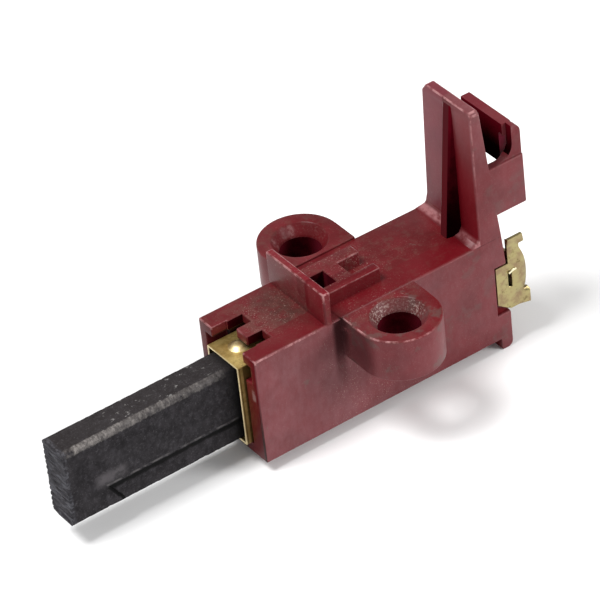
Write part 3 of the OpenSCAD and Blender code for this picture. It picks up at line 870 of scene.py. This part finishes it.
def dress_holder():
    """The moulding, with worn edges and hollows in painted shade."""
    holder = dressed("moulded_holder", "holder_body", HOLDER, [MOULDING, HOLLOW, WORN_EDGE],
                     HOLDER_EDGE, 3, sharp=in_hook)
    for face in holder.data.polygons:
        at = face.center
        on_edge = face.material_index == EDGE_INDEX
        web_edge = on_edge and at.z > BODY_TOP + 2 * MM and at.x > 14 * MM
        if (not on_edge or web_edge) and in_hollow(face):
            face.material_index = HOLLOW_INDEX
        elif on_edge and plain_edge(face):
            face.material_index = MOULDING_INDEX


# ---------------------------------------------------------------- the guide

GUIDE_EDGE = 0.10 * MM
GUIDE_BEND = 0.55 * MM
DIMPLE_AT = Vector((-18.4, 0.4, 0)) * MM
DIMPLE_RADIUS = 1.50 * MM
DIMPLE_SUNK = 0.03 * MM
# width and rise of each ring of the dome, from its foot inwards, in millimetres
DIMPLE_RINGS = ((0.16, 0.07), (0.20, 0.15), (0.24, 0.16), (0.28, 0.10), (0.22, 0.04))


def dress_guide():
    """The folded guide: its four long outer corners are bends, which sets its flats in a little too."""
    guide = dressed("folded_guide", "brush_guide", HOLDER, [GUIDE_BRASS], GUIDE_EDGE)
    middle = (GUIDE_TOP + GUIDE_LOW.z) / 2
    for vertex in guide.data.vertices:
        co = vertex.co
        out_y = GUIDE_BEND - (GUIDE_HIGH.y - abs(co.y))
        out_z = GUIDE_BEND - min(GUIDE_TOP - co.z, co.z - GUIDE_LOW.z)
        if out_y <= 0 or out_z <= 0 or co.z > GUIDE_TOP + 0.05 * MM:
            continue
        reach = math.hypot(out_y, out_z)
        if reach > GUIDE_BEND:
            pull = (reach - GUIDE_BEND) / reach
            co.y -= math.copysign(out_y * pull, co.y)
            co.z += out_z * pull * (1 if co.z < middle else -1)


def add_dimple():
    """The stiffening dimple pressed up in the guide's lip: a low round dome."""
    deselect()
    bpy.ops.mesh.primitive_circle_add(vertices=40, radius=DIMPLE_RADIUS, fill_type="NGON",
                                      location=(DIMPLE_AT.x, DIMPLE_AT.y, GUIDE_TOP - DIMPLE_SUNK))
    dome = bpy.context.object
    dome.name = "pressed_dimple"
    bpy.ops.object.mode_set(mode="EDIT")
    bpy.ops.mesh.select_mode(type="FACE")
    bpy.ops.mesh.select_all(action="SELECT")
    for inset, rise in DIMPLE_RINGS:
        bpy.ops.mesh.inset(thickness=inset * MM, depth=0)
        bpy.ops.transform.translate(value=(0, 0, rise * MM))
    bpy.ops.object.mode_set(mode="OBJECT")
    bpy.ops.object.transform_apply(location=True, rotation=True, scale=True)
    bpy.ops.object.shade_smooth()
    dome.data.materials.append(RUBBED_BRASS)
    deselect()
    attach(dome, HOLDER)


# ---------------------------------------------------------------- the carbon block

CARBON_EDGE = 0.09 * MM
FIRST_CUT = 0.625 * MM
CARBON_CUT = 0.45 * MM
CARBON_CUTS = 65
CRUMBLED_EDGE = 0.5 * MM
CRUMBLED_TIP = 0.5 * MM
CRUMBLED_LENGTH = 29 * MM
TIP_CHIPS, EDGE_CHIPS = 0.26 * MM, 0.16 * MM
LEAST_GROOVE = 0.15
# how close the chips lie, and each pattern's share of their depth
CHIP_PATTERNS = ((1100, 0.6), (3100, 0.4))
CLOG_SHARE, CLOG_PATTERN = 0.45, 420


def subdivide_tip(block):
    """Finer faces on the wearing end, so that its grooves can be clogged unevenly."""
    pick(block)
    bpy.ops.object.mode_set(mode="EDIT")
    bpy.ops.mesh.select_mode(type="FACE")
    bpy.ops.mesh.select_all(action="DESELECT")
    bpy.ops.object.mode_set(mode="OBJECT")
    for face in block.data.polygons:
        face.select = face.center.x < CARBON_LOW.x + CRUMBLED_TIP
    bpy.ops.object.mode_set(mode="EDIT")
    bpy.ops.mesh.subdivide(number_cuts=3)
    bpy.ops.object.mode_set(mode="OBJECT")


def dress_carbon():
    """The block, with crumbled long edges and an uneven wearing face."""
    block = dressed("carbon", "carbon_block", CARBON, [PRESSED_CARBON], CARBON_EDGE)
    low, high = CARBON_LOW, CARBON_HIGH
    cut_across(block, ALONG, low.x + FIRST_CUT, CARBON_CUT, CARBON_CUTS)
    subdivide_tip(block)
    middle = (low + high) / 2
    for vertex in block.data.vertices:
        co = vertex.co
        out_y = abs(co.y - middle.y) - (high.y - low.y) / 2 + CRUMBLED_EDGE
        out_z = abs(co.z - middle.z) - (high.z - low.z) / 2 + CRUMBLED_EDGE
        on_edge = out_y > 0 and out_z > 0
        on_tip = co.x < low.x + CRUMBLED_TIP
        if not (on_edge or on_tip) or co.x > low.x + CRUMBLED_LENGTH:
            continue
        chip = sum(noise.noise(co * pattern) * share for pattern, share in CHIP_PATTERNS)
        depth = max(0.0, chip) * (TIP_CHIPS if on_tip else EDGE_CHIPS)
        if on_tip:
            clogging = noise.noise(Vector((0, co.y * CLOG_PATTERN, co.z * CLOG_PATTERN)))
            left = CLOG_SHARE + CLOG_SHARE * clogging
            co.x = low.x + (co.x - low.x) * min(1.0, max(LEAST_GROOVE, left))
        inwards = Vector((1.0 if on_tip else 0.0, 0, 0))
        if on_edge:
            inwards += Vector((0, math.copysign(0.7, middle.y - co.y), math.copysign(0.7, middle.z - co.z)))
        vertex.co = co + inwards.normalized() * depth
    smooth_below(block, SMOOTH_BELOW)


# ---------------------------------------------------------------- the terminal

TERMINAL_EDGE = 0.08 * MM
PLATE_FRONT = 21.9 * MM
PLATE_LOW = -6.3 * MM
PLATE_CUTS = ((ALONG, PLATE_FRONT, 0.28 * MM, 12), (UPWARDS, PLATE_LOW, 0.5 * MM, 24))
BARREL_X = 23.5 * MM
BARREL_HALF = 1.5 * MM
BARREL_Z = -0.7 * MM
BARREL_TALL = 3.5 * MM
BARREL_SWELL = 0.42 * MM
LUG_BEND_Z = 3.4 * MM
LUG_LEAN = 0.10
LOW_TAB_Z = -4.2 * MM
LOW_TAB_TURN = 0.30


def dress_terminal():
    """The side plate is bent: a barrel swell, a lug that leans, a low tab turned out."""
    plate = dressed("folded_terminal", "rear_terminal", HOLDER, [TERMINAL_BRASS],
                    TERMINAL_EDGE)
    for cuts in PLATE_CUTS:
        cut_across(plate, *cuts)
    for vertex in plate.data.vertices:
        co = vertex.co
        if co.y > SIDE_Y + 0.6 * MM or co.x < PLATE_FRONT + 0.1 * MM:
            continue
        across = max(0.0, 1 - ((co.x - BARREL_X) / BARREL_HALF) ** 2)
        along = max(0.0, 1 - ((co.z - BARREL_Z) / BARREL_TALL) ** 4)
        shift = -BARREL_SWELL * across * along
        if co.z > LUG_BEND_Z:
            shift -= (co.z - LUG_BEND_Z) * LUG_LEAN
        if co.z < LOW_TAB_Z and co.x > BARREL_X:
            shift -= (co.x - BARREL_X) * LOW_TAB_TURN
        co.y += shift
    smooth_below(plate, SMOOTH_BELOW)


ROLL_LENGTH = 5.0 * MM
ROLL_START, ROLL_TURN = -20, 215
ROLL_SET_IN = 0.62 * MM
ROLL_FLATNESS = 0.55
ROLL_SHEET = 0.30 * MM
ROLL_RADIUS, ROLL_CROWN = 1.22 * MM, 1.1 * MM
FINE_EDGE = 0.05 * MM


def add_barrel_roll():
    """The barrel's inner turn: the sheet rolls back behind the swell and closes the slot, finished dark as
    painted shade.
    """
    deselect()
    bpy.ops.mesh.primitive_plane_add(size=1, location=(0, 0, 0))
    roll = bpy.context.object
    roll.name = "barrel_roll"
    mesh = roll.data
    bpy.ops.object.mode_set(mode="EDIT")
    bpy.ops.mesh.select_all(action="SELECT")
    bpy.ops.mesh.subdivide(number_cuts=15)
    bpy.ops.object.mode_set(mode="OBJECT")
    for vertex in mesh.vertices:
        turn = math.radians(ROLL_START + ROLL_TURN * (vertex.co.x + 0.5))
        radius = ROLL_RADIUS - ROLL_CROWN * vertex.co.y ** 2
        vertex.co = Vector((BARREL_X + radius * math.cos(turn),
                            SIDE_Y + ROLL_SET_IN + ROLL_FLATNESS * radius * math.sin(turn),
                            BARREL_Z + ROLL_LENGTH * vertex.co.y))
    thick = roll.modifiers.new("sheet", "SOLIDIFY")
    thick.thickness = ROLL_SHEET
    thick.offset = 0
    edges = roll.modifiers.new("edges", "BEVEL")
    edges.width = FINE_EDGE
    edges.segments = 2
    pick(roll)
    bpy.ops.object.modifier_apply(modifier="sheet")
    bpy.ops.object.modifier_apply(modifier="edges")
    bpy.ops.object.mode_set(mode="EDIT")
    bpy.ops.mesh.select_all(action="SELECT")
    bpy.ops.mesh.normals_make_consistent(inside=False)
    smooth_below(roll, 40)
    # painted shade finish for the inner turn
    mesh.materials.append(INNER_TURN)
    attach(roll, HOLDER)


LIP_FOOT = Vector((21.95 * MM, SIDE_Y - 0.10 * MM, -0.20 * MM))
LIP_SIZE = Vector((0.20, 0.30, 0.34)) * MM
# run, outward step, rise and growth of each stretch of the arching strip, in millimetres
LIP_STEPS = ((0.24, -0.10, 0.26, 1.0), (0.28, -0.06, 0.14, 1.05), (0.30, 0.0, 0.02, 1.0),
             (0.28, 0.03, -0.08, 0.85), (0.20, 0.05, -0.14, 0.6))


def add_pierced_lip():
    """The strip pushed out of the terminal's slot: it arches over the slot's upper end."""
    deselect()
    bpy.ops.mesh.primitive_cube_add(size=1, location=LIP_FOOT)
    lip = bpy.context.object
    lip.name = "pierced_lip"
    bpy.ops.object.mode_set(mode="EDIT")
    bpy.ops.transform.resize(value=LIP_SIZE)
    bpy.ops.mesh.select_mode(type="FACE")
    bpy.ops.mesh.select_all(action="DESELECT")
    bpy.ops.object.mode_set(mode="OBJECT")
    for face in lip.data.polygons:
        face.select = face.normal.x > 0.9
    bpy.ops.object.mode_set(mode="EDIT")
    for run, out, rise, growth in LIP_STEPS:
        bpy.ops.mesh.extrude_region_move(TRANSFORM_OT_translate={"value": (run * MM, out * MM, rise * MM)})
        bpy.ops.transform.resize(value=(1, growth, growth))
    bpy.ops.mesh.select_all(action="SELECT")
    bpy.ops.mesh.bevel(offset=FINE_EDGE, segments=2)
    bpy.ops.object.mode_set(mode="OBJECT")
    bpy.ops.object.transform_apply(location=True, rotation=True, scale=True)
    lip.data.materials.append(BRIGHT_LIP)
    smooth_below(lip, 40)
    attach(lip, HOLDER)


# ---------------------------------------------------------------- the spring and the lead

def add_shortening(name, node, finish):
    """A smoothed copy of a part, hung on the holder in place of the hidden part, with a mesh of its own."""
    piece = merged_copy(name, node, [finish])
    smooth_below(piece, 70)
    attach(piece, HOLDER)
    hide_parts(node)
    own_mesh(piece)


dress_holder()
dress_guide()
dress_terminal()
add_barrel_roll()
add_pierced_lip()
add_dimple()
dress_carbon()

add_shortening("coiled_spring", "pressure_spring", STEEL)
add_shortening("braided_lead", "shunt_lead", COPPER)


# ---------------------------------------------------------------- floor and light

def add_floor():
    deselect()
    bpy.ops.mesh.primitive_plane_add(size=4, location=(0, 0, HOLDER_LOW.z - 0.02 * MM))
    floor = bpy.context.object
    floor.name = "floor"
    f = Finish("pale_floor")
    f.colour = f.mix(f.noise(6, 2), (0.90, 0.90, 0.90), (0.93, 0.93, 0.93))
    floor.data.materials.append(f.finish(0.9, specular=0.1))


def soft_lamp(name, at, size, power):
    """A round lamp that looks at the middle of the holder."""
    data = bpy.data.lights.new(name, "AREA")
    data.shape = "DISK"
    data.size = size
    data.energy = power
    lamp = bpy.data.objects.new(name, data)
    bpy.context.scene.collection.objects.link(lamp)
    lamp.location = at
    lamp.rotation_euler = (-Vector(at)).to_track_quat("-Z", "Y").to_euler()


def add_light():
    bpy.context.scene.view_settings.view_transform = "Standard"
    world = bpy.data.worlds.new("studio")
    bpy.context.scene.world = world
    world.use_nodes = True
    sky = world.node_tree.nodes["Background"]
    sky.inputs["Color"].default_value = (1, 1, 1, 1)
    sky.inputs["Strength"].default_value = 0.50
    soft_lamp("key", at=(-0.35, 0.05, 0.78), size=0.35, power=6.5)
    soft_lamp("side", at=(0.55, -0.60, 0.38), size=0.40, power=5)


add_floor()
add_light()
